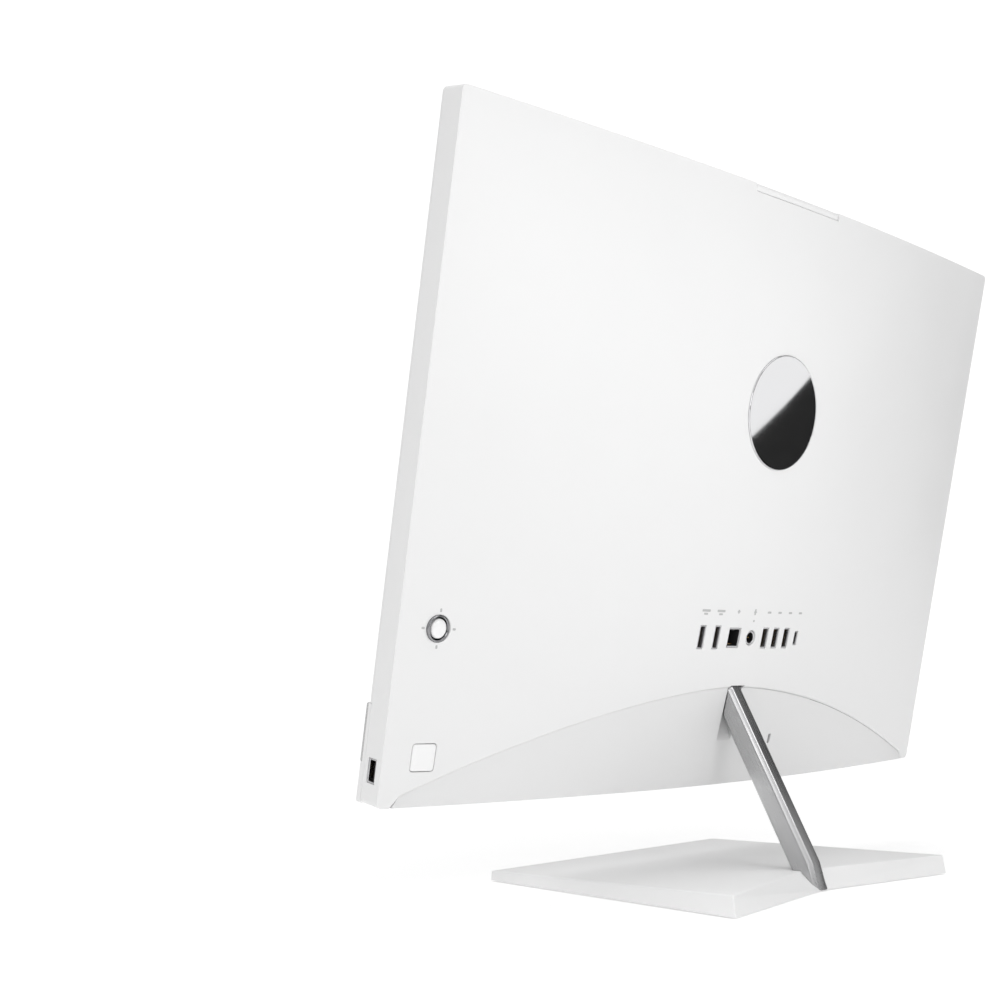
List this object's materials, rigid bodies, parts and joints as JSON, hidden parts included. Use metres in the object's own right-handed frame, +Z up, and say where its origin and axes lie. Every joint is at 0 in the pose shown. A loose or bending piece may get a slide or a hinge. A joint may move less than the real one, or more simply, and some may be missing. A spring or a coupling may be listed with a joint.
{
  "type": "all-in-one computer",
  "caption": "White all-in-one desktop computer: a thin wide display with a domed back, arched lower cover and pop-up camera, on a leaning metal arm and flat base.",
  "frame": {"origin": "on the table under the middle of the base", "axes": "+Z up, +Y towards the rear, +X towards the side with the power button and the side USB socket"},
  "size_m": [0.613, 0.216, 0.4881],
  "materials": {
    "back_shell": "satin white moulded polycarbonate",
    "lower_shell": "satin white moulded polycarbonate, a shade greyer",
    "bezel": "black fine-textured plastic",
    "screen": "dark anti-glare screen, switched off",
    "chin_cloth": "light grey woven speaker cloth",
    "stand_metal": "brushed satin aluminium",
    "base_metal": "pale satin aluminium",
    "steel": "plain rolled steel",
    "socket_metal": "nickel-plated sheet",
    "black_plastic": "black moulded plastic",
    "circuit_board": "green solder mask",
    "copper": "bare copper",
    "rubber": "matt rubber",
    "badge": "polished metal",
    "trim_ring": "dark polished metal",
    "button": "gloss white plastic",
    "lens_glass": "black gloss lens"
  },
  "bodies": {
    "stand": {"base_plate": "base_metal", "base_foot_1": "rubber", "base_foot_2": "rubber", "base_foot_3": "rubber", "base_foot_4": "rubber", "stand_arm": "stand_metal", "arm_screw_1": "steel", "arm_screw_2": "steel", "hinge_shaft": "steel", "friction_washer_left": "steel", "friction_washer_right": "steel", "hinge_nut_left": "steel", "hinge_nut_right": "steel"},
    "display": {"rear_cover": "back_shell", "lower_cover": "lower_shell", "front_bezel": "bezel", "lcd_panel": "screen", "speaker_bar": "chin_cloth", "speaker_left": "black_plastic", "speaker_right": "black_plastic", "chassis_plate": "steel", "hinge_bracket_left": "steel", "hinge_bracket_right": "steel", "mainboard": "circuit_board", "io_board": "circuit_board", "control_board": "circuit_board", "memory_module_1": "circuit_board", "memory_module_2": "circuit_board", "ssd_module": "circuit_board", "wifi_card": "circuit_board", "cold_plate": "copper", "heat_pipe": "copper", "heatsink_fins": "stand_metal", "fan_housing": "black_plastic", "hdmi_socket_1": "socket_metal", "hdmi_socket_2": "socket_metal", "lan_socket": "socket_metal", "dc_inlet": "black_plastic", "usb_a_socket_1": "socket_metal", "usb_a_socket_2": "socket_metal", "usb_a_socket_3": "socket_metal", "usb_c_socket": "socket_metal", "side_usb_socket": "socket_metal", "badge_disc": "badge", "camera_rail_left": "black_plastic", "camera_rail_right": "black_plastic", "joystick_ring": "trim_ring", "joystick_base": "black_plastic", "power_switch": "black_plastic"},
    "fan_rotor": {"fan_rotor": "black_plastic"},
    "webcam": {"webcam_body": "back_shell", "webcam_window": "lens_glass", "webcam_lens": "lens_glass"},
    "power_button": {"power_button": "button"},
    "joystick_gimbal": {"joystick_gimbal_ring": "steel"},
    "joystick_stem": {"joystick_stem": "black_plastic"},
    "joystick_cap": {"joystick_cap": "button"}
  },
  "joints": [
    {"name": "display_tilt", "type": "hinge", "parent": "stand", "child": "display", "pos_m": [0, 0.00396, 0.1441], "axis": [-1, 0, 0], "range_deg": [-15.4, 9.6]},
    {"name": "webcam_slide", "type": "slide", "parent": "display", "child": "webcam", "axis": [0, 0.1805, 0.9836], "range_m": [0, 0.022]},
    {"name": "fan_spin", "type": "hinge", "parent": "display", "child": "fan_rotor", "pos_m": [0.209, 0.01394, 0.29152], "axis": [0, 0.9836, -0.1805], "continuous": true},
    {"name": "power_button_press", "type": "slide", "parent": "display", "child": "power_button", "axis": [0, -0.9836, 0.1805], "range_m": [0, 0.0008], "stiffness_N_per_m": 1500, "springref_m": -0.0004},
    {"name": "joystick_up_down", "type": "hinge", "parent": "display", "child": "joystick_gimbal", "pos_m": [0.2784, -0.00976, 0.18068], "axis": [1, 0, 0], "range_deg": [-5, 5], "stiffness_Nm_per_rad": 0.08},
    {"name": "joystick_left_right", "type": "hinge", "parent": "joystick_gimbal", "child": "joystick_stem", "pos_m": [0.2784, -0.00976, 0.18068], "axis": [0, 0.1805, 0.9836], "range_deg": [-5, 5], "stiffness_Nm_per_rad": 0.08},
    {"name": "joystick_press", "type": "slide", "parent": "joystick_stem", "child": "joystick_cap", "axis": [0, -0.9836, 0.1805], "range_m": [0, 0.0005], "stiffness_N_per_m": 1500, "springref_m": -0.0004}
  ]
}
